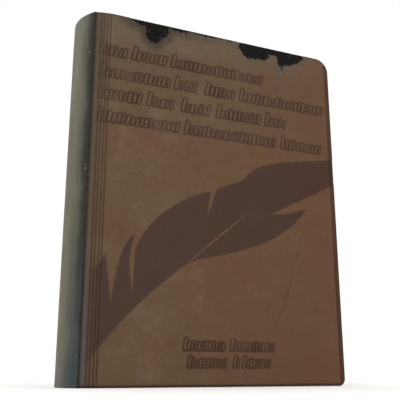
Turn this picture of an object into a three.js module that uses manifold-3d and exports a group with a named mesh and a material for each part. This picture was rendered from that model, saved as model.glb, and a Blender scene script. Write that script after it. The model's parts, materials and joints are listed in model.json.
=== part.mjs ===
// An old hardback book standing upright: a rounded text block in a leather-covered case.
// Millimetres, +Z up the book's height, front cover towards -Y, spine towards -X.
// The origin is the middle of the footprint, on the surface that the book stands on.
import * as THREE from 'three';
import { mergeVertices } from 'three/addons/utils/BufferGeometryUtils.js';
import Module from 'manifold-3d';

const wasm = await Module();
wasm.setup();

// Driving sizes: a crown quarto leaf in a case with 3 mm squares.
const CASE_HEIGHT = 252;
const CASE_WIDTH = 199; // back of the spine to the fore edge
const CASE_THICKNESS = 50; // outside of one cover to the outside of the other
const SQUARES = 3; // how far the covers stand past the leaves
const COVER_THICKNESS = 3.6; // board with its leather
const PAPER_THICKNESS = 0.3;
const GAP = 0.3; // kept between pieces that touch
const HINGE_GAP = 0.15; // each side of a hinge line

const SPINE_DEPTH = 8.7; // the hinge lines to the back of the spine
const SPINE_WALL = 1.6; // leather with its lining
const CREASE_DEPTH = 2.6; // the hinge creases below the covers' flat faces
const SHOULDER_WIDTH = 11.5; // the crease to where a cover goes flat
const SHOULDER_POWER = 1.5; // how the shoulder rounds over
const SHOULDER_STEP = 1.15;

const FILLET_PLACES = [4.8, 6.7, 9.0, 11.0]; // tooled lines, from the crease
const FORE_FILLET_PLACE = 3.7; // tooled line, from the fore edge
const FILLET_WIDTH = 0.8;
const FILLET_DEPTH = 0.35;

const FEATHER_DEPTH = 0.35; // the stamped feather, below the front cover's flat face

const HEAD_CORNER_RADIUS = 11;
const TAIL_CORNER_RADIUS = 5;
const EDGE_ROUNDING = 1.0;
const EDGE_ROUNDING_STEPS = 3;
const CORNER_STEPS = 8;
const CURVE_STEPS = 8;
const ARC_STEPS = 28;

const HINGE_X = -CASE_WIDTH / 2 + SPINE_DEPTH;
const HINGE_Y = CASE_THICKNESS / 2 - CREASE_DEPTH;
const COVER_REACH = CASE_WIDTH / 2 - HINGE_X; // hinge line to fore edge
const INNER_FACE = CREASE_DEPTH - COVER_THICKNESS; // a cover's inside, measured out from the crease
const BLOCK_HALF = HINGE_Y + INNER_FACE - PAPER_THICKNESS - 2 * GAP;

// The spine is one arc through both creases and the middle of the back.
const SPINE_RADIUS = (HINGE_Y ** 2 + SPINE_DEPTH ** 2) / (2 * SPINE_DEPTH);
const SPINE_CENTRE_X = -CASE_WIDTH / 2 + SPINE_RADIUS;
const BLOCK_BACK_RADIUS = SPINE_RADIUS - SPINE_WALL - GAP;

// One finish for each kind of surface.
const leather = new THREE.MeshStandardMaterial({ color: 0x644e3c, roughness: 0.68 });
const fadedLeather = new THREE.MeshStandardMaterial({ color: 0x6e6a5c, roughness: 0.78 });
const leaves = new THREE.MeshStandardMaterial({ color: 0xb9a079, roughness: 0.9 });
const endpaper = new THREE.MeshStandardMaterial({ color: 0xbda985, roughness: 0.9 });

function toSolid(geometry) {
  const bare = geometry.clone();
  bare.deleteAttribute('normal');
  bare.deleteAttribute('uv');
  const merged = mergeVertices(bare, 1e-4);
  return new wasm.Manifold(new wasm.Mesh({
    numProp: 3,
    vertProperties: new Float32Array(merged.attributes.position.array),
    triVerts: new Uint32Array(merged.index.array),
  }));
}

function toGeometry(solid) {
  const mesh = solid.getMesh();
  const geometry = new THREE.BufferGeometry();
  geometry.setAttribute('position', new THREE.BufferAttribute(mesh.vertProperties, 3));
  geometry.setIndex(new THREE.BufferAttribute(mesh.triVerts, 1));
  geometry.computeVertexNormals();
  return geometry;
}

function named(name, geometry, material) {
  const mesh = new THREE.Mesh(geometry, material);
  mesh.name = name;
  return mesh;
}

// A plan shape in X and Y, raised along Z from `bottom` to `top`.
function raised(points, bottom, top) {
  const shape = new THREE.Shape(points);
  const geometry = new THREE.ExtrudeGeometry(shape, { depth: top - bottom, bevelEnabled: false });
  return geometry.translate(0, 0, bottom);
}

// Points on an arc about the spine's centre line, from y = -reach to y = +reach.
function backArc(radius, reach) {
  const end = Math.asin(reach / radius);
  return Array.from({ length: ARC_STEPS + 1 }, (_, i) => {
    const angle = -end + (2 * end * i) / ARC_STEPS;
    return new THREE.Vector2(SPINE_CENTRE_X - radius * Math.cos(angle), radius * Math.sin(angle));
  });
}

// The leaves were rounded as one block, so the fore edge is hollow by the arc of the back.
function textBlock() {
  const back = backArc(BLOCK_BACK_RADIUS, BLOCK_HALF);
  const leafWidth = CASE_WIDTH / 2 - SQUARES - back[0].x;
  const foreEdge = back.map((p) => new THREE.Vector2(p.x + leafWidth, p.y)).reverse();
  return raised([...back, ...foreEdge], SQUARES, CASE_HEIGHT - SQUARES);
}

// Both faces of the spine stop at one line across, just behind the hinge lines.
function spine() {
  const run = SPINE_CENTRE_X - (HINGE_X - HINGE_GAP);
  const faces = [SPINE_RADIUS, SPINE_RADIUS - SPINE_WALL].map((radius) =>
    backArc(radius, Math.sqrt(radius ** 2 - run ** 2)));
  return raised([...faces[0], ...faces[1].reverse()], 0, CASE_HEIGHT);
}

// How far the outside of a cover stands out past its crease, at a distance from the crease.
function coverOutside(distance) {
  const left = Math.max(0, 1 - distance / SHOULDER_WIDTH);
  return CREASE_DEPTH * (1 - left ** SHOULDER_POWER);
}

// A cover's section in plan, from its hinge line at x = 0; `side` is the way it faces along Y.
function coverSection(side) {
  const points = [];
  const fillets = [...FILLET_PLACES, COVER_REACH - FORE_FILLET_PLACE];
  const nearFillet = (x) => fillets.some((place) => Math.abs(place - x) < FILLET_WIDTH);
  for (let x = HINGE_GAP; x < SHOULDER_WIDTH; x += SHOULDER_STEP) {
    if (!nearFillet(x)) points.push([x, coverOutside(x)]);
  }
  for (const place of fillets) {
    points.push([place - FILLET_WIDTH / 2, coverOutside(place - FILLET_WIDTH / 2)]);
    points.push([place, coverOutside(place) - FILLET_DEPTH]);
    points.push([place + FILLET_WIDTH / 2, coverOutside(place + FILLET_WIDTH / 2)]);
  }
  points.sort((a, b) => a[0] - b[0]);
  points.push([COVER_REACH, CREASE_DEPTH], [COVER_REACH, INNER_FACE], [HINGE_GAP, INNER_FACE]);
  return points.map(([x, out]) => new THREE.Vector2(x, side * out));
}

// The cover seen from the front: square at the hinge, rounded at the two fore-edge corners.
// It is drawn small by the edge rounding, which the bevel then adds all round.
function coverOutline() {
  const right = COVER_REACH - EDGE_ROUNDING;
  const top = CASE_HEIGHT - EDGE_ROUNDING;
  const left = -EDGE_ROUNDING;
  const tailRadius = TAIL_CORNER_RADIUS - EDGE_ROUNDING;
  const headRadius = HEAD_CORNER_RADIUS - EDGE_ROUNDING;
  const outline = new THREE.Shape();
  outline.moveTo(left, EDGE_ROUNDING);
  outline.lineTo(right - tailRadius, EDGE_ROUNDING);
  outline.absarc(right - tailRadius, EDGE_ROUNDING + tailRadius, tailRadius, -Math.PI / 2, 0, false);
  outline.lineTo(right, top - headRadius);
  outline.absarc(right - headRadius, top - headRadius, headRadius, 0, Math.PI / 2, false);
  outline.lineTo(left, top);
  outline.closePath();
  const geometry = new THREE.ExtrudeGeometry(outline, {
    depth: COVER_THICKNESS - 2 * EDGE_ROUNDING,
    bevelThickness: EDGE_ROUNDING,
    bevelSize: EDGE_ROUNDING,
    bevelSegments: EDGE_ROUNDING_STEPS,
    curveSegments: CORNER_STEPS,
  });
  // Turned upright, its height is along Z and its thickness lies between 0 and -Y.
  return geometry.translate(0, 0, EDGE_ROUNDING).rotateX(Math.PI / 2);
}

// The stamped feather, from the shoulder up to the fore edge. Its places are across the cover
// from where it goes flat, and up from the tail.
function featherShape() {
  const feather = new THREE.Shape();
  feather.moveTo(-9, 11);
  feather.quadraticCurveTo(14, 46, 57.2, 78.4); // under side of the quill
  feather.quadraticCurveTo(84, 104, 106, 119); // bare shaft between the vanes
  feather.quadraticCurveTo(85, 101, 59, 79.3);
  feather.bezierCurveTo(76, 87, 128, 90, 153, 126); // lower vane
  feather.quadraticCurveTo(140, 120, 122, 118.5);
  feather.lineTo(186, 151); // off the fore edge
  feather.lineTo(186, 168.5);
  feather.bezierCurveTo(150, 162, 118, 159, 106, 148); // upper vane, towards its tip
  feather.quadraticCurveTo(100, 140.5, 94.7, 139);
  feather.quadraticCurveTo(86, 135.5, 79.5, 132);
  feather.quadraticCurveTo(76, 122, 72.8, 112); // a narrow split
  feather.quadraticCurveTo(73.5, 123, 75.5, 130.8);
  feather.bezierCurveTo(43, 120.5, 24.5, 98.5, 21.2, 84); // upper vane, towards the quill
  feather.lineTo(20.8, 57.5);
  feather.quadraticCurveTo(15, 75, 21.3, 97); // second barb
  feather.bezierCurveTo(9, 84, 9.5, 68, 6.3, 51.5);
  feather.quadraticCurveTo(4.2, 66, 1.8, 82); // third barb
  feather.quadraticCurveTo(-2, 72, -9, 70);
  feather.closePath();
  return feather;
}

// A cutter for the feather, over the flat part of a front cover's outside.
function featherCutter() {
  const proud = 1;
  const geometry = new THREE.ExtrudeGeometry(featherShape(), {
    depth: FEATHER_DEPTH + proud,
    bevelEnabled: false,
    curveSegments: CURVE_STEPS,
  });
  geometry.rotateX(Math.PI / 2);
  return toSolid(geometry.translate(SHOULDER_WIDTH, FEATHER_DEPTH - CREASE_DEPTH, 0));
}

// A cover is its section raised to full height, cut to the outline with its rounded edges.
function cover(side) {
  const outline = coverOutline();
  outline.translate(0, side < 0 ? -INNER_FACE : CREASE_DEPTH, 0);
  const whole = toSolid(raised(coverSection(side), 0, CASE_HEIGHT));
  const plain = whole.intersect(toSolid(outline));
  return toGeometry(side < 0 ? plain.subtract(featherCutter()) : plain);
}

// The endpaper pasted to the inside of a cover, as tall and as wide as the leaves.
function pastedown(side) {
  const width = COVER_REACH - SQUARES - SPINE_WALL;
  const height = CASE_HEIGHT - 2 * SQUARES;
  const paper = new THREE.BoxGeometry(width, PAPER_THICKNESS, height);
  const out = INNER_FACE - GAP - PAPER_THICKNESS / 2;
  return paper.translate(SPINE_WALL + width / 2, side * out, CASE_HEIGHT / 2);
}

const book = new THREE.Group();
book.add(named('text_block', textBlock(), leaves));
book.add(named('spine', spine(), fadedLeather));

for (const [name, side] of [['front', -1], ['back', 1]]) {
  const hinged = new THREE.Group();
  hinged.position.set(HINGE_X, side * HINGE_Y, 0);
  hinged.add(named(`${name}_cover`, cover(side), leather));
  hinged.add(named(`${name}_pastedown`, pastedown(side), endpaper));
  book.add(hinged);
}

export default book;
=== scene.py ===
import json
import math
import random

import bmesh
import bpy
import numpy as np
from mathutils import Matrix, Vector, noise


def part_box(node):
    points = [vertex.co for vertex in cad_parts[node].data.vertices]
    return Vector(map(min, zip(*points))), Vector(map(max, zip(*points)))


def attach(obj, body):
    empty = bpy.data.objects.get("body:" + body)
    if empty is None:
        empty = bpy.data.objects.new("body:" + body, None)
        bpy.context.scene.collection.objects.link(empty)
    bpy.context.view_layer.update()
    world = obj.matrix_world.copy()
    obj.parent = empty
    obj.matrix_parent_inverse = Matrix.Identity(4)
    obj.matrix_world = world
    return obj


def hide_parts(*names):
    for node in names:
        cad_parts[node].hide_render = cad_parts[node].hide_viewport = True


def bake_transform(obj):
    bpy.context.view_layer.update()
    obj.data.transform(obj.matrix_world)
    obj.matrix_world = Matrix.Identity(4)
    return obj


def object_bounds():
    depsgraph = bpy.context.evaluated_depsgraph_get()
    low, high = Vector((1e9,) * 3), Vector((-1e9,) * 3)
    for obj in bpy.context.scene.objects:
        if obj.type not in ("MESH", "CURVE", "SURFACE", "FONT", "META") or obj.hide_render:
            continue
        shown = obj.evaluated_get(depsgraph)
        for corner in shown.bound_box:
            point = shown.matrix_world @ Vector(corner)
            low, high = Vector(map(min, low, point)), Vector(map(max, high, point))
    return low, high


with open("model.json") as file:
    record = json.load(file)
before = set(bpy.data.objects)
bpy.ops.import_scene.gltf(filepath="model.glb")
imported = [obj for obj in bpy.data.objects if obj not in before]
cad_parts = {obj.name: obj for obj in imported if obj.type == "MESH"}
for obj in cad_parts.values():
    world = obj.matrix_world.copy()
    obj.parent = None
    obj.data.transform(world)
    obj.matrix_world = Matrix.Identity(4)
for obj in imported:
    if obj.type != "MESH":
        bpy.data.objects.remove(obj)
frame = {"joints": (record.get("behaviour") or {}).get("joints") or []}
cad_low, cad_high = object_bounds()

# ---------------------------------------------------------------------------------------------
# Leaves. About four hundred leaves of rag paper, folded and sewn in gatherings, then rounded
# with a hammer, so that the back stands out and the fore edge is hollow by the same arc.
# The leaves are toned brown at their edges and lie a little unevenly.
# ---------------------------------------------------------------------------------------------
MM = 0.001
GATHERINGS = 20
LEAVES_DRAWN = 4  # ridges to a gathering; single leaves are 0.1 mm, too fine to show
FOLD_ROUNDING = 0.42  # of a gathering's thickness
STREAK = 2.2 * MM  # spacing of the brown streaks on the cut edges, about one to a gathering

chance = random.Random(7)
block_low, block_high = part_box("text_block")
spine_low, spine_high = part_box("spine")
hinge = Vector(frame["joints"][0]["pos_m"])
hinge_depth = abs(hinge.y)
spine_bulge = hinge.x - spine_low.x
spine_radius = (hinge_depth ** 2 + spine_bulge ** 2) / (2 * spine_bulge)
spine_centre = spine_low.x + spine_radius


def clear_selection():
    if bpy.context.object and bpy.context.object.mode != "OBJECT":
        bpy.ops.object.mode_set(mode="OBJECT")
    bpy.ops.object.select_all(action="DESELECT")


def only(piece):
    """Makes one object the selected and active one."""
    clear_selection()
    piece.select_set(True)
    bpy.context.view_layer.objects.active = piece


def settle(piece):
    """Puts the object's place, turn and size into its mesh."""
    only(piece)
    bpy.ops.object.transform_apply(location=True, rotation=True, scale=True)


def choose(piece, kind, test):
    """In edit mode, selects the faces, edges or vertices whose middle passes the test."""
    mesh = bmesh.from_edit_mesh(piece.data)
    bpy.ops.mesh.select_all(action="DESELECT")
    modes = {"verts": "VERT", "edges": "EDGE", "faces": "FACE"}
    bpy.ops.mesh.select_mode(type=modes[kind])
    for item in getattr(mesh, kind):
        if kind == "verts":
            middle = item.co
        elif kind == "edges":
            middle = (item.verts[0].co + item.verts[1].co) / 2
        else:
            middle = item.calc_center_median()
        if test(middle, item):
            item.select_set(True)
    mesh.select_flush_mode()
    bmesh.update_edit_mesh(piece.data)


def finish_mesh(piece, angle=30):
    """Merges doubles, turns the faces outwards and smooths all but the sharp edges."""
    only(piece)
    bpy.ops.object.mode_set(mode="EDIT")
    bpy.ops.mesh.select_all(action="SELECT")
    bpy.ops.mesh.remove_doubles(threshold=0.000002)
    bpy.ops.mesh.normals_make_consistent(inside=False)
    bpy.ops.object.mode_set(mode="OBJECT")
    bpy.ops.object.shade_smooth_by_angle(angle=math.radians(angle))


def back_arc(y, radius):
    """Where the back of the leaves or of the spine stands at a place across the thickness."""
    return spine_centre - math.sqrt(radius ** 2 - y ** 2)


block_half = block_high.y
block_radius = spine_centre - block_low.x
leaf_width = block_high.x - back_arc(block_half, block_radius)
leaf_height = block_high.z - block_low.z
thick = 2 * block_half / GATHERINGS

gatherings = []
for i in range(GATHERINGS):
    y = -block_half + (i + 0.5) * thick
    outer = i in (0, GATHERINGS - 1)
    drop = 0 if outer else chance.uniform(0, 0.25) * MM
    width = leaf_width - (0 if outer else chance.uniform(0, 0.3) * MM)
    clear_selection()
    bpy.ops.mesh.primitive_cube_add(size=1)
    gathering = bpy.context.object
    gathering.scale = (width, thick, leaf_height - 2 * drop)
    reach = y + math.copysign(thick / 2, y)
    gathering.location = (
        back_arc(reach, block_radius) + width / 2,
        y,
        (block_low.z + block_high.z) / 2,
    )
    settle(gathering)
    bpy.ops.object.mode_set(mode="EDIT")
    # the fold at the back is round
    fold = min(v.co.x for v in gathering.data.vertices)
    choose(gathering, "edges", lambda m, e: m.x < fold + 1 * MM
           and abs(e.verts[0].co.z - e.verts[1].co.z) > 0.1)
    bpy.ops.mesh.bevel(offset=thick * FOLD_ROUNDING, segments=4, affect="EDGES")
    # every other line of the cut edges sinks a little, as leaves of unequal length do
    lines = 2 * LEAVES_DRAWN
    for line in range(1, lines):
        bpy.ops.mesh.select_all(action="SELECT")
        cut = y - thick / 2 + thick * line / lines
        bpy.ops.mesh.bisect(plane_co=(0, cut, 0), plane_no=(0, 1, 0))
    bpy.ops.mesh.select_all(action="SELECT")
    bpy.ops.object.mode_set(mode="OBJECT")
    sink = [0 if line % 2 else chance.uniform(0.1, 0.28) * MM for line in range(lines + 1)]
    if outer:
        sink[0 if i == 0 else -1] = 0
    for vertex in gathering.data.vertices:
        line = round((vertex.co.y - y + thick / 2) / thick * lines)
        if vertex.co.x > block_high.x - 20 * MM:
            vertex.co.x -= sink[line]
        middle = (block_low.z + block_high.z) / 2
        vertex.co.z -= math.copysign(sink[line], vertex.co.z - middle)
    gatherings.append(gathering)

clear_selection()
for gathering in gatherings:
    gathering.select_set(True)
bpy.context.view_layer.objects.active = gatherings[0]
bpy.ops.object.join()
leaves = bpy.context.object
leaves.name = "leaves"
finish_mesh(leaves, 40)


def linear(code):
    """A colour from its sRGB hex digits, as the linear values that a shader takes."""
    parts = [int(code[i:i + 2], 16) / 255 for i in (1, 3, 5)]
    return [c / 12.92 if c <= 0.04045 else ((c + 0.055) / 1.055) ** 2.4 for c in parts] + [1]


def add(tree, kind, links=None, **settings):
    """Adds one node with its settings. `links` gives each input a value, another node's output,
    or a node, which stands for its first output."""
    node = tree.nodes.new("ShaderNode" + kind)
    for key, value in settings.items():
        setattr(node, key, value)
    for key, value in (links or {}).items():
        if isinstance(value, bpy.types.Node):
            value = value.outputs[0]
        if isinstance(value, bpy.types.NodeSocket):
            tree.links.new(value, node.inputs[key])
        else:
            node.inputs[key].default_value = value
    return node


def new_material(name):
    """An empty material with its Principled shader; returns the material, tree and shader."""
    material = bpy.data.materials.new(name)
    material.use_nodes = True
    return material, material.node_tree, material.node_tree.nodes["Principled BSDF"]


# Mix node sockets for colours: factor, first, second, and the result.
FACTOR, FIRST, SECOND, RESULT = 0, 6, 7, 2


def layered(tree, ground, layers):
    """Lays colours over a ground, each through its masks multiplied together. A mask is a node,
    a value or a ramp: what it reads, from where to where, and how strong it is at each end."""
    colour = ground
    for *masks, tone in layers:
        factor = None
        for mask in masks:
            if isinstance(mask, tuple):
                names = ("Value", "From Min", "From Max", "To Min", "To Max")
                mask = add(tree, "MapRange", dict(zip(names, mask)))
            if factor is None:
                factor = mask
            else:
                factor = add(tree, "Math", {0: factor, 1: mask}, operation="MULTIPLY")
        mix = add(tree, "Mix", {FACTOR: factor, FIRST: colour, SECOND: linear(tone)},
                  data_type="RGBA")
        colour = mix.outputs[RESULT]
    return colour


def paper(name, ground, toned, stain, streak):
    """Rag paper, sized and browned with age: matt and soft, with foxing spots. The spacing of
    the streaks is given where the cut edges of the leaves show."""
    material, tree, shader = new_material(name)
    place = add(tree, "TexCoord").outputs["Object"]
    cloud = add(tree, "TexNoise", {"Vector": place, "Scale": 1 / (45 * MM), "Detail": 5})
    fox = add(tree, "TexNoise", {"Vector": place, "Scale": 1 / (9 * MM), "Detail": 4})
    colour = layered(tree, linear(ground), [
        ((cloud, 0.35, 0.7, 0, 1), toned),
        ((fox, 0.64, 0.8, 0, 0.7), stain),
    ])
    height = fox
    if streak:
        # a wave repeats every 2 pi / 20 of its unit, so this one does once a streak, and noise
        # 0.14 mm fine, about a leaf, frays it
        lines = add(tree, "TexWave", {
            "Vector": place, "Scale": 2 * math.pi / (20 * streak), "Distortion": 1.2,
            "Detail": 2, "Detail Scale": 50,
        }, bands_direction="Y")
        colour = layered(tree, colour, [((lines.outputs[1], 0.1, 0.6, 0.55, 0), stain)])
        height = lines.outputs[1]
    bump = add(tree, "Bump", {"Height": height, "Strength": 0.4, "Distance": 0.1 * MM})
    tree.links.new(colour, shader.inputs["Base Color"])
    tree.links.new(bump.outputs[0], shader.inputs["Normal"])
    shader.inputs["Roughness"].default_value = 0.9
    shader.inputs["IOR"].default_value = 1.45
    shader.inputs["Specular IOR Level"].default_value = 0.25
    return material


# Toned rag paper: the cut edges are a dull tan, streaked along the leaves.
leaves.data.materials.clear()
leaves.data.materials.append(paper("toned_rag_paper", "#b3996f", "#9c8059", "#6f5638", STREAK))
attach(leaves, "block")
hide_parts("text_block")

# ---------------------------------------------------------------------------------------------
# Spine. The leather of the case over a stiff lining, moulded to the rounded back and turned in
# at head and tail. It has faded to a dusty grey olive, and painted shade with grime makes it
# nearly black beside the joints.
# ---------------------------------------------------------------------------------------------
SPINE_WALL = 1.6 * MM
TURN_IN_ROUNDING = 0.7 * MM
SPINE_STEPS = 48
SPINE_ROWS = 120

case_height = cad_high.z
half_turn = math.asin((spine_high.y - 0.02 * MM) / spine_radius)

clear_selection()
bpy.ops.mesh.primitive_plane_add(size=1, rotation=(math.pi / 2, 0, 0))
spine = bpy.context.object
spine.name = "spine_leather"
spine.scale = (SPINE_WALL, case_height, 1)
spine.location = (-spine_radius + SPINE_WALL / 2, 0, case_height / 2)
settle(spine)
bpy.ops.object.mode_set(mode="EDIT")
bpy.ops.mesh.select_all(action="SELECT")
bpy.ops.mesh.bevel(offset=TURN_IN_ROUNDING, segments=3, affect="VERTICES")
for row in range(1, SPINE_ROWS):
    bpy.ops.mesh.select_all(action="SELECT")
    bpy.ops.mesh.bisect(plane_co=(0, 0, case_height * row / SPINE_ROWS), plane_no=(0, 0, 1))
bpy.ops.object.mode_set(mode="OBJECT")
spine.rotation_euler.z = half_turn
spine.location.x = spine_centre
settle(spine)
bpy.ops.object.mode_set(mode="EDIT")
bpy.ops.mesh.select_all(action="SELECT")
bpy.ops.mesh.spin(steps=SPINE_STEPS, angle=2 * half_turn, center=(spine_centre, 0, 0),
                  axis=(0, 0, 1))
bpy.ops.object.mode_set(mode="OBJECT")
finish_mesh(spine, 45)


def worn(x, y, z, size, octaves=3):
    """Smooth seeded unevenness from about -1 to 1; `size` is the width of a swell, in metres."""
    return noise.fractal(Vector((x, y, z)) / size, 0.9, 2.0, octaves)


# the leather has sunk and rubbed unevenly, always inwards from its first shape
for vertex in spine.data.vertices:
    outward = Vector((vertex.co.x - spine_centre, vertex.co.y, 0)).normalized()
    swell = worn(vertex.co.x * 2, vertex.co.y * 2, vertex.co.z, 30 * MM)
    wrinkle = worn(vertex.co.x, vertex.co.y, vertex.co.z / 4, 3 * MM)
    vertex.co -= outward * (0.12 + 0.1 * swell + 0.03 * wrinkle) * MM


def leather(tree, place, tones, blotch=28 * MM):
    """Old calf: mottled tones, short rub marks and pin-point specks. Returns the colour and the
    height of the grain. Calf grain is 0.2 to 0.3 mm, and is drawn at 0.9 mm so that it shows."""
    ground, warm, olive, dark = tones
    broad = add(tree, "TexNoise", {"Vector": place, "Scale": 1 / blotch, "Detail": 5,
                                   "Roughness": 0.6, "Distortion": 0.6})
    other = add(tree, "TexNoise", {"Vector": place, "W": 3.7, "Scale": 0.6 / blotch,
                                   "Detail": 4, "Roughness": 0.55}, noise_dimensions="4D")
    rub = add(tree, "TexNoise", {"Vector": place, "Scale": 1 / (5 * MM), "Detail": 6,
                                 "Roughness": 0.7})
    cells = add(tree, "TexVoronoi", {"Vector": place, "Scale": 1 / (26 * MM),
                                     "Randomness": 1.0})
    grain = add(tree, "TexVoronoi", {"Vector": place, "Scale": 1 / (0.9 * MM)},
                feature="SMOOTH_F1")
    colour = layered(tree, linear(ground), [
        ((broad, 0.4, 0.7, 0, 0.8), warm),
        ((other, 0.42, 0.68, 0, 0.8), olive),
        ((rub, 0.5, 0.85, 0, 0.4), dark),
        ((cells, 0.045, 0.12, 0.5, 0), dark),
    ])
    height = add(tree, "Math", {0: grain, 1: rub}, operation="ADD")
    return colour, height


def dress(tree, shader, colour, height, roughness, depth):
    """Connects a leather's colour and grain to its shader, with the gloss of waxed skin."""
    bump = add(tree, "Bump", {"Height": height, "Strength": 0.5, "Distance": depth})
    tree.links.new(colour, shader.inputs["Base Color"])
    tree.links.new(bump.outputs[0], shader.inputs["Normal"])
    shader.inputs["Roughness"].default_value = roughness
    shader.inputs["IOR"].default_value = 1.48
    shader.inputs["Specular IOR Level"].default_value = 0.12


# Faded calf: dusty and almost matt, streaked along its length where hands have rubbed it.
# Painted shade darkens its sides towards the joints, over the grime there, and damp has turned its
# tail bluish.
material, tree, shader = new_material("faded_dusty_calf")
place = add(tree, "TexCoord").outputs["Object"]
colour, height = leather(tree, place, ("#67625a", "#6d6350", "#5d5f4c", "#4f4a40"), 40 * MM)
at = add(tree, "SeparateXYZ", {0: place}).outputs
side = add(tree, "Math", {0: at["Y"]}, operation="ABSOLUTE")
drawn_out = add(tree, "Mapping", {"Vector": place, "Scale": (1, 1, 0.12)})
streak = add(tree, "TexNoise", {"Vector": drawn_out, "Scale": 1 / (4.5 * MM), "Detail": 5,
                                "Roughness": 0.6})
wander = add(tree, "TexNoise", {"Vector": place, "Scale": 1 / (22 * MM), "Detail": 5})
pushed = add(tree, "Math", {0: wander, 1: 6 * MM, 2: side}, operation="MULTIPLY_ADD")
# painted shade of the creases, with their grime, beside both joints
grime_and_crease_shade = add(tree, "MapRange", {"Value": pushed, "From Min": 20 * MM, "From Max": 24.5 * MM,
                               "To Max": 0.85}, interpolation_type="SMOOTHSTEP")
rubbed = add(tree, "TexNoise", {"Vector": place, "Scale": 1 / (7 * MM), "Detail": 7,
                                "Roughness": 0.7})
fleck = add(tree, "TexVoronoi", {"Vector": place, "Scale": 1 / (7 * MM)})
ragged_fleck = add(tree, "Math", {0: streak, 1: 0.25, 2: fleck}, operation="MULTIPLY_ADD")
colour = layered(tree, colour, [
    # dust towards the head, and streaks from handling
    ((at["Z"], 150 * MM, case_height, 0, 0.4), "#7d7a72"),
    ((streak, 0.45, 0.75, 0, 0.55), "#575342"),
    ((streak, 0.47, 0.28, 0, 0.6), "#7a7660"),
    # greyed at the very tail, and rubbed pale in patches low on the back side
    ((at["Z"], 0, 22 * MM, 0.55, 0), "#5d6262"),
    ((rubbed, 0.47, 0.6, 0, 0.75), (at["Y"], -6 * MM, 10 * MM, 0, 1),
     (at["Z"], 80 * MM, 140 * MM, 1, 0.2), "#8c8674"),
    # painted shade darkens it towards the joints, and painted shade with grime makes it nearly
    # black beside them; bluish there near the tail
    ((pushed, 13.5 * MM, 22.5 * MM, 0, 0.75), "#3a3a33"),
    (grime_and_crease_shade, "#25261f"),
    ((at["Z"], 8 * MM, 110 * MM, 0.85, 0), (pushed, 10 * MM, 20 * MM, 0, 0.9), "#3c4245"),
    # flecks where the surface has chipped, most of them near the head
    ((ragged_fleck, 0.17, 0.23, 0.75, 0), (at["Z"], 90 * MM, 200 * MM, 0.3, 1), "#8b897e"),
])
dress(tree, shader, colour, height, 0.75, 0.12 * MM)
spine.data.materials.clear()
spine.data.materials.append(material)
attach(spine, "block")
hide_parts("spine")

# ---------------------------------------------------------------------------------------------
# Endbands. A cord wound in linen thread of two colours is sewn to the back of the leaves at
# head and tail, inside the spine's turned-in leather.
# ---------------------------------------------------------------------------------------------
BAND_THICKNESS = 1.5 * MM
BAND_TURNS = 44  # turns of thread from side to side; each is 0.9 mm wide
COLOUR_REPEAT = 11.3 * MM  # about six turns of tan thread, then six of red
TWIST = 5.65 * MM  # the thread's own twist is ten times finer, and is drawn so that it shows

band_radius = block_radius - BAND_THICKNESS * 0.5
band_half = math.asin((block_half - 2 * MM) / band_radius)
band_material, tree, shader = new_material("waxed_linen_thread")
place = add(tree, "TexCoord").outputs["Object"]
winding = add(tree, "TexWave", {"Vector": place, "Scale": 2 * math.pi / (20 * COLOUR_REPEAT),
                                "Distortion": 0.3, "Detail": 1}, bands_direction="Y")
twist = add(tree, "TexWave", {"Vector": place, "Scale": 2 * math.pi / (10 * TWIST)},
            bands_direction="DIAGONAL")
colour = layered(tree, linear("#9a8762"), [((winding.outputs[1], 0.42, 0.58, 0, 1), "#5a3228")])
dress(tree, shader, colour, twist.outputs[1], 0.8, 0.08 * MM)
for name, level in (("tail", block_low.z - BAND_THICKNESS * 0.4),
                    ("head", block_high.z + BAND_THICKNESS * 0.4)):
    clear_selection()
    bpy.ops.mesh.primitive_circle_add(vertices=10, radius=BAND_THICKNESS / 2,
                                      fill_type="NGON", rotation=(math.pi / 2, 0, 0),
                                      location=(-band_radius, 0, 0))
    band = bpy.context.object
    band.name = name + "_endband"
    settle(band)
    band.rotation_euler.z = band_half
    band.location = (spine_centre, 0, level)
    settle(band)
    bpy.ops.object.mode_set(mode="EDIT")
    bpy.ops.mesh.select_all(action="SELECT")
    bpy.ops.mesh.spin(steps=BAND_TURNS * 4, angle=2 * band_half,
                      center=(spine_centre, 0, 0), axis=(0, 0, 1))
    bpy.ops.object.mode_set(mode="OBJECT")
    # the thread stands proud of the cord in the middle of each turn
    for vertex in band.data.vertices:
        angle = math.atan2(vertex.co.y, spine_centre - vertex.co.x)
        middle = Vector((spine_centre - band_radius * math.cos(angle),
                         band_radius * math.sin(angle), level))
        turn = (angle + band_half) / (2 * band_half) * BAND_TURNS
        vertex.co = middle.lerp(vertex.co, 0.88 + 0.12 * abs(math.sin(math.pi * turn)))
    finish_mesh(band, 60)
    band.data.materials.clear()
    band.data.materials.append(band_material)
    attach(band, "block")

# ---------------------------------------------------------------------------------------------
# Covers. Each is a board with calf drawn over it and turned in, rounded at its two fore-edge
# corners and pressed thin beside the joint. Four blind lines run down the shoulder and one
# down the fore edge. They are built here bare, and the tooling is stamped in further on.
# ---------------------------------------------------------------------------------------------
# Here u is a place across a cover from its crease and v its height above the tail, and all
# sizes up to the endpapers are in millimetres.
CREASE = 2.6  # depth of the crease below the flat of the cover
SHOULDER = 11.5  # width of the slope from the crease to the flat
SHOULDER_POWER = 1.5  # how the slope rounds over
BOARD = 3.6  # thickness with its leather
TURNED_IN = 0.5  # how far the leather's rim rounds the inner edge
EDGE_ROUND = 1.3
HEAD_CORNER = 11
TAIL_CORNER = 5
FILLETS = (4.8, 6.7, 9.0, 11.0)
FORE_FILLET = 3.7  # from the fore edge
FILLET_WIDTH = 0.95
FILLET_DEPTH = 0.38
WEAR = 0.1  # the leather is worn by this much everywhere, and by uneven swells and pits
SWELL = 0.08
PIT = 0.035
COARSE = 1.6  # spacing of a cover's mesh, halved where there is tooling

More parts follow.
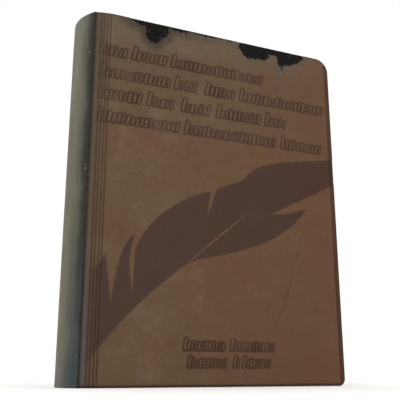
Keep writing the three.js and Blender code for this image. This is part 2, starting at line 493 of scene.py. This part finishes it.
cover_low, cover_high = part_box("front_cover")
reach = (cover_high.x - hinge.x) / MM
tall = case_height / MM
start = (cover_low.x - hinge.x) / MM
fillets = (*FILLETS, reach - FORE_FILLET)


def outside(u):
    """How far a cover's outside stands out past its crease, at a distance from the crease."""
    left = np.clip(1 - u / SHOULDER, 0, None)
    return CREASE * (1 - left ** SHOULDER_POWER)


def edge_distance(u, v):
    """Distance in from the head, fore and tail edges with their rounded corners."""
    radius = np.where(v > tall / 2, HEAD_CORNER, TAIL_CORNER)
    from_fore = reach - u
    from_end = np.minimum(v, tall - v)
    in_corner = (from_fore < radius) & (from_end < radius)
    straight = np.minimum(from_fore, from_end)
    round_in = radius - np.hypot(radius - from_fore, radius - from_end)
    return np.where(in_corner, round_in, straight)


def points_of(piece):
    places = np.empty(len(piece.data.vertices) * 3)
    piece.data.vertices.foreach_get("co", places)
    return places.reshape(-1, 3)


def across_and_up(piece):
    """Each point's distance from the crease and height above the tail, in millimetres."""
    places = points_of(piece)
    return (places[:, 0] - hinge.x) / MM, places[:, 2] / MM


def cover_skin(name):
    """The outside of a front cover as one flat, close grid, facing -Y, its corners still square."""
    clear_selection()
    columns = round((reach - start) / COARSE)
    rows = round(tall / COARSE)
    bpy.ops.mesh.primitive_grid_add(x_subdivisions=columns, y_subdivisions=rows, size=1,
                                    rotation=(math.pi / 2, 0, 0))
    skin = bpy.context.object
    skin.name = name
    skin.scale = ((reach - start) * MM, tall * MM, 1)
    skin.location = (hinge.x + (reach + start) / 2 * MM, cad_low.y, tall / 2 * MM)
    settle(skin)
    bpy.ops.object.mode_set(mode="EDIT")
    for place in fillets:
        for step in (-0.5, -0.22, 0, 0.22, 0.5):
            bpy.ops.mesh.select_all(action="SELECT")
            cut = hinge.x + (place + step * FILLET_WIDTH) * MM
            bpy.ops.mesh.bisect(plane_co=(cut, 0, 0), plane_no=(1, 0, 0))
    bpy.ops.object.mode_set(mode="OBJECT")
    return skin


def refine(skin, measure, limit):
    """Halves the mesh where `measure` says that something is nearer than the limit."""
    u, v = across_and_up(skin)
    near = measure(u, v) < limit
    bpy.ops.object.mode_set(mode="EDIT")
    choose(skin, "faces", lambda middle, face: any(near[c.index] for c in face.verts))
    bpy.ops.mesh.subdivide(number_cuts=1)
    bpy.ops.object.mode_set(mode="OBJECT")


def round_corners(skin):
    """Draws the square corners in to quarter circles."""
    places = points_of(skin)
    for radius, end, way in ((HEAD_CORNER, tall, 1), (TAIL_CORNER, 0, -1)):
        a = ((places[:, 0] - hinge.x) / MM - (reach - radius)) / radius
        b = (places[:, 2] / MM - (end - way * radius)) / radius * way
        inside = (a > 0) & (b > 0)
        drawn_a = a * np.sqrt(np.clip(1 - b ** 2 / 2, 0, None))
        drawn_b = b * np.sqrt(np.clip(1 - a ** 2 / 2, 0, None))
        x = hinge.x + (reach - radius + drawn_a * radius) * MM
        z = (end - way * radius + way * drawn_b * radius) * MM
        places[:, 0] = np.where(inside, x, places[:, 0])
        places[:, 2] = np.where(inside, z, places[:, 2])
    skin.data.vertices.foreach_set("co", places.ravel())


def shape_skin(skin, extra=None):
    """Moves a flat skin to the shoulder, edge rounding and fillets, less any further tooling."""
    u, v = across_and_up(skin)
    out = outside(u)
    inward = np.clip(EDGE_ROUND - edge_distance(u, v), 0, EDGE_ROUND)
    out -= EDGE_ROUND - np.sqrt(EDGE_ROUND ** 2 - inward ** 2)
    for place in fillets:
        away = np.abs(u - place) / (FILLET_WIDTH / 2)
        out -= FILLET_DEPTH * np.clip(1 - away ** 2, 0, 1)
    swell = np.array([worn(a * MM, 0, b * MM, 45 * MM) for a, b in zip(u, v)])
    pits = np.array([worn(a * MM, 0.3, b * MM, 7 * MM, 2) for a, b in zip(u, v)])
    out -= WEAR + SWELL * swell + PIT * pits
    if extra is not None:
        out -= extra
    places = points_of(skin)
    places[:, 1] = hinge.y - out * MM
    skin.data.vertices.foreach_set("co", places.ravel())
    skin.data.update()


def thicken(skin):
    """Turns the skin's rim in round the board and closes the inside."""
    inner = hinge.y + (BOARD - CREASE) * MM
    turned = TURNED_IN * MM
    only(skin)
    bpy.ops.object.mode_set(mode="EDIT")
    bpy.ops.mesh.select_mode(type="EDGE")
    bpy.ops.mesh.select_all(action="DESELECT")
    bpy.ops.mesh.select_non_manifold()
    bpy.ops.mesh.extrude_edges_move(TRANSFORM_OT_translate={"value": (0, 0.3 * MM, 0)})
    bpy.ops.mesh.extrude_edges_move(TRANSFORM_OT_translate={"value": (0, 0.3 * MM, 0)})
    mesh = bmesh.from_edit_mesh(skin.data)
    for vertex in mesh.verts:
        if vertex.select:
            vertex.co.y = inner - turned
    bmesh.update_edit_mesh(skin.data)
    bpy.ops.mesh.edge_face_add()
    bpy.ops.mesh.select_mode(type="FACE")
    bpy.ops.mesh.normals_make_consistent(inside=False)
    bpy.ops.mesh.inset(thickness=0.35 * turned, depth=0.65 * turned)
    bpy.ops.mesh.inset(thickness=0.65 * turned, depth=0.35 * turned)
    bpy.ops.object.mode_set(mode="OBJECT")


def edge_wear_and_shade(tree, place, fine):
    """The layers of colour along a cover's joint, lines and edges, painted shade among them, the
    same on both covers.
    """
    at = add(tree, "SeparateXYZ", {0: place}).outputs
    loose = add(tree, "Math", {0: fine, 1: 3 * MM, 2: at["X"]}, operation="MULTIPLY_ADD")
    dots = add(tree, "TexVoronoi", {"Vector": place, "Scale": 1 / (6 * MM)})
    ragged_dots = add(tree, "Math", {0: fine, 1: 0.3, 2: dots}, operation="MULTIPLY_ADD")
    geometry = add(tree, "NewGeometry")
    upper = (at["Z"], 20 * MM, 200 * MM, 0.35, 1)
    # dust lies on the slope beside the joint, and damp has greyed its foot at the tail
    layers = [
        ((loose, hinge.x + 5 * MM, hinge.x + 13 * MM, 0.85, 0), upper, "#484034"),
        ((loose, hinge.x + 3 * MM, hinge.x + 8 * MM, 1, 0),
         (at["Z"], 10 * MM, 110 * MM, 0.8, 0), "#45464b"),
    ]
    # the blind lines are worn away in places, most of all towards the head
    for line in fillets:
        past = add(tree, "Math", {0: at["X"], 1: hinge.x + line * MM}, operation="SUBTRACT")
        away = add(tree, "Math", {0: past}, operation="ABSOLUTE")
        layers.append(((away, 0.2 * MM, 1.0 * MM, 0.6, 0),
                       (at["Z"], 60 * MM, 190 * MM, 1, 0.6), "#36251d"))
    return layers + [
        # flecks where the surface has chipped, most of them near the joint
        ((ragged_dots, 0.165, 0.22, 0.8, 0),
         (at["X"], hinge.x + 3 * MM, hinge.x + 40 * MM, 1, 0.1), upper, 0.8, "#857e70"),
        # grime and painted shade in the joint, grime along the fore and tail edges, and painted
        # shade along the head edge
        ((at["X"], hinge.x + 0.7 * MM, hinge.x + 2.1 * MM, 0.92, 0), "#191a1a"),
        ((at["X"], cad_high.x - 1 * MM, cad_high.x - 5.2 * MM, 0.85, 0), "#351e17"),
        ((at["Z"], 0.6 * MM, 2.4 * MM, 0.8, 0), "#1f1712"),
        ((at["Z"], case_height - 0.5 * MM, case_height - 1.7 * MM, 0.75, 0), "#1f1712"),
        # corners and board edges rub to a bare tan along their very arris
        ((geometry.outputs["Pointiness"], 0.53, 0.6, 0, 1), (fine, 0.45, 0.62, 0, 0.5),
         "#7a5f45"),
    ]


# ---------------------------------------------------------------------------------------------
# Front cover's tooling. Four rows of marks near the head and two short rows near the tail are
# stamped in outline, in groups as words would be. They are plain slanted strokes that spell
# nothing. A large feather is stained dark and pressed in, from the joint to the fore edge.
# ---------------------------------------------------------------------------------------------
MARK_LINE = 0.45  # half the width of a stroke's pressed outline
MARK_DEPTH = 0.3
MARK_RISE = 0.24  # the inside of a stroke comes back up by this much
MARK_SHADOW_SHIFT = 0.3  # how far the painted shadow lies below and to the left of a stroke
FEATHER_DEPTH = 0.28
CHAR_LOSS = 0.3
OLD_CREASE_DEPTH = 0.18
FAR = 9.0  # stands for anywhere out of a stroke's or a burnt patch's reach

# Each row: height of its foot, stroke height, and where each group starts and ends, measured
# from where the cover goes flat.
ROWS = (
    (219.5, 7.0, ((-7, 12), (16, 41.5), (45, 119))),
    (203.1, 7.0, ((-6, 44.5), (47.5, 65.5), (71.5, 95), (99, 172))),
    (186.9, 7.0, ((-7, 23.5), (27.5, 47), (53, 75.5), (80, 116.5), (120, 138))),
    (170.5, 7.0, ((-7, 51.5), (55.5, 128.5), (133, 168.5))),
    (22.9, 5.4, ((55.5, 85), (89, 122.5))),
    (12.1, 5.2, ((58.5, 86.5), (91, 95.5), (98, 119))),
)
TALL_MARK = 1.45  # the first stroke of a group, against the others
MARK_PITCH = 0.47  # of the stroke height
MARK_WIDTH = 0.22
MARK_CORNER = 0.35
MARK_LEAN = math.radians(11)


def row_marks():
    """The strokes of every group: middle across and up, length, width and lean."""
    draw = random.Random(21)
    marks = []
    for foot, height, groups in ROWS:
        for first, last in groups:
            count = max(2, round((last - first) / (MARK_PITCH * height)))
            step = (last - first) / count
            for i in range(count):
                length = height * (TALL_MARK if i == 0 else draw.uniform(0.86, 1.12))
                width = height * MARK_WIDTH * (1.5 if i == 0 else draw.choice((0.8, 1, 1.35)))
                middle_u = SHOULDER + first + (i + 0.5 + draw.uniform(-0.06, 0.06)) * step
                lean = MARK_LEAN + math.radians(draw.uniform(-2, 2))
                marks.append((middle_u, foot + length / 2, length, width, lean))
    return marks


def stroke_distance(u, v, mark):
    """Distance outside a leaning bar with slightly round corners, negative within it."""
    middle_u, middle_v, length, width, lean = mark
    a = abs((u - middle_u) * math.cos(lean) - (v - middle_v) * math.sin(lean))
    b = abs((u - middle_u) * math.sin(lean) + (v - middle_v) * math.cos(lean))
    past_a = a - width / 2 + MARK_CORNER
    past_b = b - length / 2 + MARK_CORNER
    clear = np.hypot(np.maximum(past_a, 0), np.maximum(past_b, 0))
    return clear + np.minimum(np.maximum(past_a, past_b), 0) - MARK_CORNER


def marks_distance(u, v):
    """Distance outside the nearest stroke, negative within it, or a far value."""
    nearest = np.full(len(u), FAR)
    for mark in marks:
        span = mark[2] / 2 + 2
        here = (abs(u - mark[0]) < span) & (abs(v - mark[1]) < span)
        if here.any():
            nearest[here] = np.minimum(nearest[here], stroke_distance(u[here], v[here], mark))
    return nearest


# The feather's outline, from where the cover goes flat: each entry runs on from the last
# point, straight to a point or by one or two control points to it.
FEATHER = (
    ((-9, 11),),
    ((14, 46), (57.2, 78.4)),  # under side of the quill
    ((84, 104), (106, 119)),  # bare shaft between the vanes
    ((85, 101), (59, 79.3)),
    ((76, 87), (128, 90), (153, 126)),  # lower vane
    ((140, 120), (122, 118.5)),
    ((186, 151),),  # off the fore edge
    ((186, 168.5),),
    ((150, 162), (118, 159), (106, 148)),  # upper vane, towards its tip
    ((100, 140.5), (94.7, 139)),
    ((86, 135.5), (79.5, 132)),
    ((76, 122), (72.8, 112)),  # a narrow split
    ((73.5, 123), (75.5, 130.8)),
    ((43, 120.5), (24.5, 98.5), (21.2, 84)),  # upper vane, towards the quill
    ((20.8, 57.5),),
    ((15, 75), (21.3, 97)),  # second barb
    ((9, 84), (9.5, 68), (6.3, 51.5)),
    ((4.2, 66), (1.8, 82)),  # third barb
    ((-2, 72), (-9, 70)),
)
CURVE_STEPS = 14


def feather_outline():
    """The outline as points, each curve worked out by its own polynomial."""
    points = [np.array(FEATHER[0][0], float)]
    for entry in FEATHER[1:]:
        controls = [points[-1], *(np.array(p, float) for p in entry)]
        degree = len(controls) - 1
        for step in range(1, CURVE_STEPS + 1 if degree > 1 else 2):
            t = step / CURVE_STEPS if degree > 1 else 1
            points.append(sum(
                math.comb(degree, k) * t ** k * (1 - t) ** (degree - k) * control
                for k, control in enumerate(controls)))
    return np.array(points) + (SHOULDER, 0)


def feather_distance(u, v):
    """Distance outside the feather's outline, negative within it."""
    outline = feather_outline()
    nearest = np.full(len(u), 1e9)
    inside = np.zeros(len(u), bool)
    for (au, av), (bu, bv) in zip(outline, np.roll(outline, -1, axis=0)):
        run = (bu - au) ** 2 + (bv - av) ** 2
        t = np.clip(((u - au) * (bu - au) + (v - av) * (bv - av)) / max(run, 1e-9), 0, 1)
        away = np.hypot(u - au - t * (bu - au), v - av - t * (bv - av))
        nearest = np.minimum(nearest, away)
        if av != bv:
            crosses = (av > v) != (bv > v)
            inside ^= crosses & (u < (bu - au) * (v - av) / (bv - av) + au)
    return np.where(inside, -nearest, nearest)


# Charred and rubbed places along the head, as soft ellipses: middle and half sizes.
CHARRED = (
    (33.5, 248, 10, 10), (31, 242, 6.5, 8), (23, 251, 10, 4.5), (22, 245, 1, 1),
    (25, 241, 1, 1), (51, 252.8, 12, 4.8), (76, 253, 28, 4.2),
    (109, 248.2, 11.5, 10), (118, 245.5, 7.5, 6.3), (128, 252, 14, 6.6),
    (142, 248.3, 12.3, 8.5), (136, 242.5, 5, 6.5), (135.4, 238.8, 2.5, 5), (151, 250.5, 6, 6),
)
# An old crease in the leather, from the fore side of the feather down towards the tail.
CREASE_LINE = ((147.6, 104.8), (139.7, 80.8), (132.1, 57.8), (123.4, 39.7))


def char_depth(u, v):
    """How far a place is inside the charred patches, in millimetres, negative outside them."""
    deepest = np.full(len(u), -FAR)
    for middle_u, middle_v, half_u, half_v in CHARRED:
        spread = np.hypot((u - SHOULDER - middle_u) / half_u, (v - middle_v) / half_v)
        deepest = np.maximum(deepest, (1 - spread) * min(half_u, half_v))
    return deepest


def line_distance(u, v, points):
    """Distance to a run of straight stretches."""
    nearest = np.full(len(u), 1e9)
    for (au, av), (bu, bv) in zip(points, points[1:]):
        run = (bu - au) ** 2 + (bv - av) ** 2
        t = np.clip(((u - au) * (bu - au) + (v - av) * (bv - av)) / run, 0, 1)
        nearest = np.minimum(nearest, np.hypot(u - au - t * (bu - au), v - av - t * (bv - av)))
    return nearest


marks = row_marks()
front = cover_skin("front_cover_leather")
refine(front, lambda u, v: np.minimum.reduce([
    marks_distance(u, v), abs(feather_distance(u, v)), edge_distance(u, v),
    -char_depth(u, v) + 1, line_distance(u - SHOULDER, v, CREASE_LINE)]), 0.8 * COARSE)
refine(front, lambda u, v: np.minimum(abs(marks_distance(u, v) - 0.1),
                                      edge_distance(u, v)), 0.5 * COARSE / 2)
round_corners(front)
u, v = across_and_up(front)
mark_edge = marks_distance(u, v)
# the same distance shifted, for the strokes' painted shadow below and to the left
mark_painted_shadow = marks_distance(u + MARK_SHADOW_SHIFT, v + MARK_SHADOW_SHIFT)
feather_edge = feather_distance(u, v)
charred = char_depth(u, v)
crease_away = line_distance(u - SHOULDER, v, CREASE_LINE)
ragged = charred + np.array([1.6 * worn(a * MM, 0.7, b * MM, 5 * MM) for a, b in zip(u, v)])
pressed = MARK_DEPTH * np.exp(-(np.maximum(mark_edge - 0.2, 0) / MARK_LINE) ** 2)
pressed -= MARK_RISE * np.clip(0.5 - mark_edge / 0.5, 0, 1)
pressed += FEATHER_DEPTH * np.clip(0.5 - feather_edge / 1.2, 0, 1)
pressed += CHAR_LOSS * np.clip(ragged / 0.8, 0, 1)
pressed += OLD_CREASE_DEPTH * np.exp(-(crease_away / 0.5) ** 2)
shape_skin(front, pressed)
for name, values in (("mark_mm", mark_edge), ("painted_shadow_mm", mark_painted_shadow),
                     ("feather_mm", feather_edge), ("char_mm", charred),
                     ("crease_mm", crease_away)):
    field = front.data.attributes.new(name, "FLOAT", "POINT")
    field.data.foreach_set("value", values.astype(np.float32))
thicken(front)
finish_mesh(front, 50)

# Brown calf: satin with wax and handling, olive towards the joint and redder at the fore edge.
material, tree, shader = new_material("worn_brown_calf_tooled")
place = add(tree, "TexCoord").outputs["Object"]
colour, height = leather(tree, place, ("#594330", "#5f412e", "#5a4a33", "#3f3028"))
at = add(tree, "SeparateXYZ", {0: place}).outputs
broad = add(tree, "TexNoise", {"Vector": place, "Scale": 1 / (60 * MM), "Detail": 3})
stain = add(tree, "TexNoise", {"Vector": place, "Scale": 1 / (16 * MM), "Detail": 6,
                               "Roughness": 0.6})
fine = add(tree, "TexNoise", {"Vector": place, "Scale": 1 / (2.2 * MM), "Detail": 5})


def field_mask(attribute, inner, outer, wobble):
    """One where the named field is under `inner`, none past `outer`, its edge made ragged."""
    field = add(tree, "Attribute", attribute_name=attribute)
    ragged = add(tree, "Math", {0: fine, 1: wobble, 2: field.outputs["Fac"]},
                 operation="MULTIPLY_ADD")
    return add(tree, "MapRange", {"Value": ragged, "From Min": inner + wobble / 2,
                                  "From Max": outer + wobble / 2, "To Min": 1, "To Max": 0},
               interpolation_type="SMOOTHSTEP")


towards_fore = add(tree, "Math", {0: broad, 1: 90 * MM, 2: at["X"]},
                   operation="MULTIPLY_ADD")
redder = add(tree, "MapRange", {"Value": towards_fore, "From Min": 0, "From Max": 130 * MM,
                                "To Max": 0.75})
towards_joint = add(tree, "Math", {0: 1.0, 1: redder}, operation="SUBTRACT")

# the feather's stain thins out on the slope of the joint and is cloudy inside
feather = (field_mask("feather_mm", -0.6, 0.6, 1.8),
           (at["X"], hinge.x + 2.5 * MM, hinge.x + 7.5 * MM, 0, 1),
           (stain, 0.35, 0.7, 0.84, 1))

# the strokes have dye round their edges, with a painted shadow below and to the left
outer_mark = field_mask("mark_mm", 0.42, 0.95, 0.4)
painted_shadow_mark = field_mask("painted_shadow_mm", 0.45, 1.0, 0.4)
inner_mark = field_mask("mark_mm", -0.5, 0.0, 0.25)
dye_and_painted_shadow = add(tree, "Math", {0: outer_mark, 1: painted_shadow_mark}, operation="MAXIMUM")
outline = add(tree, "Math", {0: dye_and_painted_shadow, 1: inner_mark}, operation="SUBTRACT", use_clamp=True)

# burnt leather: black and dry at the heart, greyed round it, with flecks of ash, and browned
# by smoke at the patch nearer the joint
char_field = add(tree, "Attribute", attribute_name="char_mm")
burnt_edge = add(tree, "TexNoise", {"Vector": place, "Scale": 1 / (4.5 * MM), "Detail": 8,
                                    "Roughness": 0.75})
burnt = add(tree, "Math", {0: burnt_edge, 1: 9.0, 2: char_field.outputs["Fac"]},
            operation="MULTIPLY_ADD")
soot = add(tree, "MapRange", {"Value": burnt, "From Min": 5.0, "From Max": 6.1},
           interpolation_type="SMOOTHSTEP")
scorch = add(tree, "MapRange", {"Value": burnt, "From Min": -3, "From Max": 5.6,
                                "To Max": 0.75}, interpolation_type="SMOOTHSTEP")
dots = add(tree, "TexVoronoi", {"Vector": place, "Scale": 1 / (3.0 * MM)})
ragged_dots = add(tree, "Math", {0: fine, 1: 0.4, 2: dots}, operation="MULTIPLY_ADD")

colour = layered(tree, colour, [
    # redder towards the fore edge, greyer and dustier towards the head
    (redder, "#5a3e2c"),
    ((at["Z"], 150 * MM, case_height, 0, 0.7), towards_joint, "#574839"),
    ((at["Z"], 224 * MM, 244 * MM, 0, 0.4), towards_joint, "#625743"),
    ((stain, 0.46, 0.3, 0, 0.55), towards_joint, "#665444"),
    ((stain, 0.56, 0.78, 0, 0.4), "#432f25"),
    (*feather, "#3c271f"),
    (*feather, towards_joint, 0.55, "#43352f"),
    # the strokes' dyed outlines with their painted shadows
    (outline, (stain, 0.3, 0.6, 0.6, 0.95), "#38251c"),
    (field_mask("crease_mm", 0.1, 0.9, 0.8), 0.3, "#3a281c"),
    *edge_wear_and_shade(tree, place, fine),
    (scorch, "#50463b"),
    (scorch, (at["X"], hinge.x + 60 * MM, hinge.x + 95 * MM, 0.85, 0), "#2a221c"),
    ((ragged_dots, 0.3, 0.44, 0.75, 0), scorch, "#77705f"),
    (soot, "#060404"),
    ((ragged_dots, 0.25, 0.31, 0.6, 0), scorch, "#8e897c"),
])
dress(tree, shader, colour, height, 0.68, 0.1 * MM)
front.data.materials.clear()
front.data.materials.append(material)
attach(front, "front")
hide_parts("front_cover")

# ---------------------------------------------------------------------------------------------
# Back cover. The same leather-covered board turned to the other side, with its blind lines
# and no other tooling.
# ---------------------------------------------------------------------------------------------
back = cover_skin("back_cover_leather")
refine(back, edge_distance, COARSE)
refine(back, edge_distance, COARSE / 2)
round_corners(back)
shape_skin(back)
thicken(back)
only(back)
back.scale.y = -1
settle(back)
finish_mesh(back, 50)

# The same calf, a little redder and more scuffed, as the side that a book is laid down on.
material, tree, shader = new_material("worn_brown_calf_plain")
place = add(tree, "TexCoord").outputs["Object"]
colour, height = leather(tree, place, ("#594330", "#61402d", "#57452f", "#3d2e26"), 34 * MM)
stain = add(tree, "TexNoise", {"Vector": place, "Scale": 1 / (24 * MM), "Detail": 7,
                               "Roughness": 0.65, "Distortion": 0.8})
fine = add(tree, "TexNoise", {"Vector": place, "Scale": 1 / (2.2 * MM), "Detail": 5})
scuff = add(tree, "MapRange", {"Value": stain, "From Min": 0.45, "From Max": 0.32,
                               "To Max": 0.5})
# long fine scratches, from being slid on and off a shelf
slid = add(tree, "Mapping", {"Vector": place, "Scale": (0.06, 1, 1), "Rotation": (0, 0.3, 0)})
scratch = add(tree, "TexNoise", {"Vector": slid, "Scale": 1 / (1.1 * MM), "Detail": 3})
scratches = add(tree, "MapRange", {"Value": scratch, "From Min": 0.68, "From Max": 0.76,
                                   "To Max": 0.45})
scratched = add(tree, "Math", {0: scratches, 1: scuff})
colour = layered(tree, colour, [
    ((stain, 0.54, 0.72, 0, 0.5), "#432f25"),
    (scuff, "#665242"),
    (scratched, 0.5, "#6e5844"),
    *edge_wear_and_shade(tree, place, fine),
])
dress(tree, shader, colour, height, 0.68, 0.1 * MM)
back.data.materials.clear()
back.data.materials.append(material)
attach(back, "back")
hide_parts("back_cover")

# ---------------------------------------------------------------------------------------------
# Endpapers. A sheet of cream paper is pasted inside each cover, over the turned-in leather, as
# tall as the leaves, and has taken a brown offset from the leather at its margins.
# ---------------------------------------------------------------------------------------------
endpaper_material = paper("aged_cream_endpaper", "#bba983", "#a98f66", "#7a6142", 0)
tree = endpaper_material.node_tree
shader = tree.nodes["Principled BSDF"]
place = add(tree, "TexCoord").outputs["Object"]
at = add(tree, "SeparateXYZ", {0: place}).outputs
wander = add(tree, "TexNoise", {"Vector": place, "Scale": 1 / (14 * MM), "Detail": 5})
low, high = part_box("front_pastedown")
from_fore = add(tree, "Math", {0: high.x, 1: at["X"]}, operation="SUBTRACT")
from_head = add(tree, "Math", {0: high.z, 1: at["Z"]}, operation="SUBTRACT")
from_tail = add(tree, "Math", {0: at["Z"], 1: low.z}, operation="SUBTRACT")
nearer = add(tree, "Math", {0: from_head, 1: from_tail}, operation="MINIMUM")
nearest = add(tree, "Math", {0: from_fore, 1: nearer}, operation="MINIMUM")
inward = add(tree, "Math", {0: wander, 1: 9 * MM, 2: nearest}, operation="MULTIPLY_ADD")
# acid in the turned-in leather, 15 mm wide, has browned the paper over it
plain = shader.inputs["Base Color"].links[0].from_socket
browned = layered(tree, plain, [((inward, 15 * MM, 22 * MM, 0.6, 0), "#8a6a45")])
tree.links.new(browned, shader.inputs["Base Color"])
for side in ("front", "back"):
    low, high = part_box(side + "_pastedown")
    clear_selection()
    bpy.ops.mesh.primitive_grid_add(x_subdivisions=48, y_subdivisions=64, size=1,
                                    rotation=(math.pi / 2, 0, 0))
    endpaper = bpy.context.object
    endpaper.name = side + "_endpaper"
    endpaper.scale = (high.x - low.x, high.z - low.z, 1)
    endpaper.location = (low + high) / 2
    settle(endpaper)
    for vertex in endpaper.data.vertices:
        vertex.co.y += 0.05 * MM * worn(vertex.co.x, side == "back", vertex.co.z, 12 * MM)
    bpy.ops.object.modifier_add(type="SOLIDIFY")
    endpaper.modifiers[0].thickness = 0.16 * MM
    endpaper.modifiers[0].offset = 0
    bpy.ops.object.modifier_apply(modifier=endpaper.modifiers[0].name)
    finish_mesh(endpaper)
    endpaper.data.materials.clear()
    endpaper.data.materials.append(endpaper_material)
    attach(endpaper, side)
    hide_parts(side + "_pastedown")

# ---------------------------------------------------------------------------------------------
# Joints. The same skin of leather runs from the spine on to each cover; here it is a strip under
# both edges of the crease.
# ---------------------------------------------------------------------------------------------
# Across the strip: distance from the hinge line, and depth below it, both in millimetres.
STRIP_PATH = ((-1.7, 2.75), (-1.2, 2.1), (-0.7, 1.45), (-0.3, 0.9), (0, 0.6), (0.35, 0.5),
              (0.9, 0.5), (1.6, 0.5), (2.4, 0.5))
STRIP_COLUMNS = 24
STRIP_THICKNESS = 0.4 * MM

# painted shade: the leather down in the crease is coloured near black for the shade there
joint_material, tree, shader = new_material("creased_calf_painted_shade")
place = add(tree, "TexCoord").outputs["Object"]
colour, height = leather(tree, place, ("#2f2a24", "#33271f", "#2b2b24", "#1c1815"), 12 * MM)
dress(tree, shader, colour, height, 0.7, 0.1 * MM)
for body, way in (("front", -1), ("back", 1)):
    clear_selection()
    bpy.ops.mesh.primitive_grid_add(x_subdivisions=STRIP_COLUMNS, y_subdivisions=60, size=1,
                                    rotation=(math.pi / 2, 0, 0))
    strip = bpy.context.object
    strip.name = body + "_joint_leather"
    strip.scale = (1, case_height - 2 * MM, 1)
    strip.location = (0, 0, case_height / 2)
    settle(strip)
    for vertex in strip.data.vertices:
        share = (vertex.co.x + 0.5) * (len(STRIP_PATH) - 1)
        first = min(int(share), len(STRIP_PATH) - 2)
        near, far = Vector(STRIP_PATH[first]), Vector(STRIP_PATH[first + 1])
        offset, depth = near.lerp(far, share - first) * MM
        vertex.co.x = hinge.x + offset
        vertex.co.y = way * (hinge_depth - depth)
    bpy.ops.object.modifier_add(type="SOLIDIFY")
    strip.modifiers[0].thickness = STRIP_THICKNESS
    strip.modifiers[0].offset = 0
    bpy.ops.object.modifier_apply(modifier=strip.modifiers[0].name)
    finish_mesh(strip)
    strip.data.materials.clear()
    strip.data.materials.append(joint_material)
    level = way * hinge_depth
    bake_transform(strip)

# ---------------------------------------------------------------------------------------------
# Studio. A white floor that fades into the white surroundings, one broad soft light from the
# left and a weaker one from the right, and the camera low in front of the spine, looking up.
# ---------------------------------------------------------------------------------------------
clear_selection()
bpy.ops.mesh.primitive_circle_add(vertices=96, radius=3, fill_type="NGON")
floor = bpy.context.object
floor.name = "studio_floor"
material, tree, shader = new_material("matt_white_floor")
place = add(tree, "TexCoord").outputs["Object"]
distance = add(tree, "VectorMath", {0: place}, operation="LENGTH")
fade = add(tree, "MapRange", {"Value": distance.outputs["Value"], "From Min": 0.3,
                              "From Max": 1.4}, interpolation_type="SMOOTHSTEP")
clear = add(tree, "BsdfTransparent")
blend = add(tree, "MixShader", {0: fade, 1: shader, 2: clear})
tree.links.new(blend.outputs[0], tree.nodes["Material Output"].inputs[0])
shader.inputs["Base Color"].default_value = linear("#fbfaf8")
shader.inputs["Roughness"].default_value = 0.9
shader.inputs["Specular IOR Level"].default_value = 0.1
floor.data.materials.append(material)

world = bpy.data.worlds.new("white_surroundings")
bpy.context.scene.world = world
world.use_nodes = True
world.node_tree.nodes["Background"].inputs[0].default_value = (1, 1, 1, 1)
world.node_tree.nodes["Background"].inputs[1].default_value = 1.0
bpy.context.scene.view_settings.view_transform = "Standard"

for name, corner, size, power in (("key", (-0.9, -0.9, 0.9), 0.9, 6),
                                  ("fill", (0.9, -0.7, 0.5), 0.9, 2)):
    bpy.ops.object.light_add(type="AREA", location=corner)
    lamp = bpy.context.object
    lamp.name = name
    lamp.data.size = size
    lamp.data.energy = power
    lamp.rotation_euler = (Vector((0, 0, 0.12)) - lamp.location).to_track_quat("-Z", "Y").to_euler()
    lamp.visible_camera = False

# The camera's place and turn, in heights of the case from where the front cover goes flat.
flat_edge = Vector((hinge.x + SHOULDER * MM, cad_low.y, 0))
eye = flat_edge + Vector((-0.393, -1.527, 0.037)) * case_height
look = Vector((0.3819, 0.8861, 0.2627))
bpy.ops.object.camera_add(location=eye, rotation=look.to_track_quat("-Z", "Y").to_euler())
camera = bpy.context.object
camera.data.lens = 56.9
camera.data.sensor_width = 36
bpy.context.scene.camera = camera
